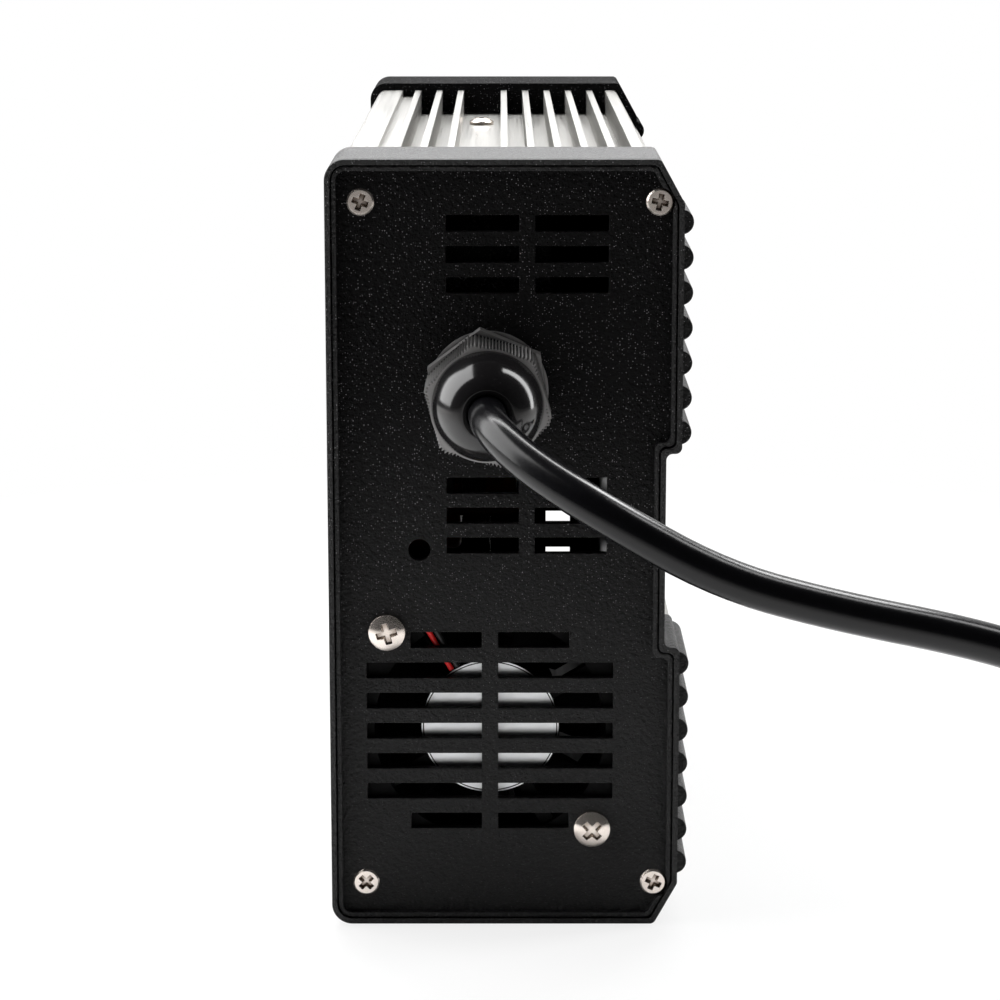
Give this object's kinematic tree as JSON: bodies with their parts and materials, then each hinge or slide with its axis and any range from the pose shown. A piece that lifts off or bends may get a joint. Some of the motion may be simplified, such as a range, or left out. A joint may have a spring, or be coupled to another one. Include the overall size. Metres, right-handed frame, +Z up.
{
  "type": "lithium battery charger",
  "caption": "Fan-cooled lithium battery charger in a finned aluminium case with moulded end caps, a cable gland with its mains lead, and an output socket",
  "frame": {"origin": "on the floor under the middle of the case, without its gland and lead", "axes": "X across the case from its flat side to its finned side, Y from the end with the lead to the output end, Z up"},
  "size_m": [0.3189, 0.3226, 0.1892],
  "materials": {
    "case": "bead-blasted extruded aluminium",
    "caps": "fine textured black moulding",
    "screws": "bright nickel-plated steel",
    "fan_moulding": "black moulded plastic",
    "label": "plain silver-white foil",
    "ferrite": "sintered ferrite",
    "steel": "bright steel",
    "brass": "turned brass",
    "copper": "enamelled copper wire",
    "red_wire": "PVC insulation",
    "black_wire": "PVC insulation",
    "brown_wire": "PVC insulation",
    "blue_wire": "PVC insulation",
    "earth_wire": "PVC insulation",
    "white_wire": "silicone insulation",
    "white_plastic": "nylon",
    "gland": "black nylon",
    "gland_dome": "polished black nylon",
    "seal": "neoprene",
    "lead": "satin black PVC",
    "tie": "black nylon",
    "pins": "brass",
    "board": "glass epoxy with solder mask",
    "sheet": "clear polyester sheet",
    "tape": "polyester tape",
    "sleeve": "shrink sleeve",
    "film_case": "moulded case",
    "chip": "moulded epoxy",
    "pad": "thermally conductive pad",
    "white_metal": "nickel-plated zinc",
    "insert": "moulded insulator",
    "lamps": "clear epoxy"
  },
  "bodies": {
    "charger": {"case_extrusion": "case", "front_end_cap": "caps", "rear_end_cap": "caps", "cap_screws": "screws", "clamp_screw": "screws", "fan_frame": "fan_moulding", "fan_label": "label", "fan_bearings": "brass", "fan_stator": "steel", "fan_windings": "copper", "fan_screws": "screws", "fan_lead_red": "red_wire", "fan_lead_black": "black_wire", "fan_plug": "white_plastic", "fan_header": "white_plastic", "gland_washer": "gland", "gland_body": "gland", "gland_locknut": "gland", "gland_seal": "seal", "gland_nut": "gland_dome", "cord_in_gland": "lead", "mains_cord": "lead", "cord_coil": "lead", "cord_tail": "lead", "cord_tie": "tie", "plug_body": "lead", "plug_blades": "pins", "plug_earth_pin": "pins", "live_wire": "brown_wire", "neutral_wire": "blue_wire", "earth_wire": "earth_wire", "board_leads": "brown_wire", "wire_connector": "white_plastic", "earth_tag": "steel", "earth_screw": "screws", "circuit_board": "board", "insulation_sheet": "sheet", "transformer_core": "ferrite", "transformer_winding": "tape", "inductor_core": "ferrite", "inductor_winding": "copper", "choke_core": "ferrite", "choke_windings": "copper", "bulk_capacitors": "sleeve", "output_capacitors": "sleeve", "x_capacitor": "film_case", "bridge_rectifier": "chip", "control_board": "board", "thermal_pad": "pad", "power_transistors": "chip", "clamp_bar": "case", "socket_shell": "white_metal", "socket_insert": "insert", "socket_contacts": "brass", "socket_screws": "screws", "output_leads": "white_wire", "indicator_lights": "lamps"},
    "rotor": {"fan_rotor": "fan_moulding", "fan_magnet": "ferrite", "fan_shaft": "steel"}
  },
  "joints": [
    {"name": "fan_spin", "type": "hinge", "parent": "charger", "child": "rotor", "pos_m": [-0.0047, -0.10815, 0.049], "axis": [0, -1, 0], "continuous": true}
  ]
}
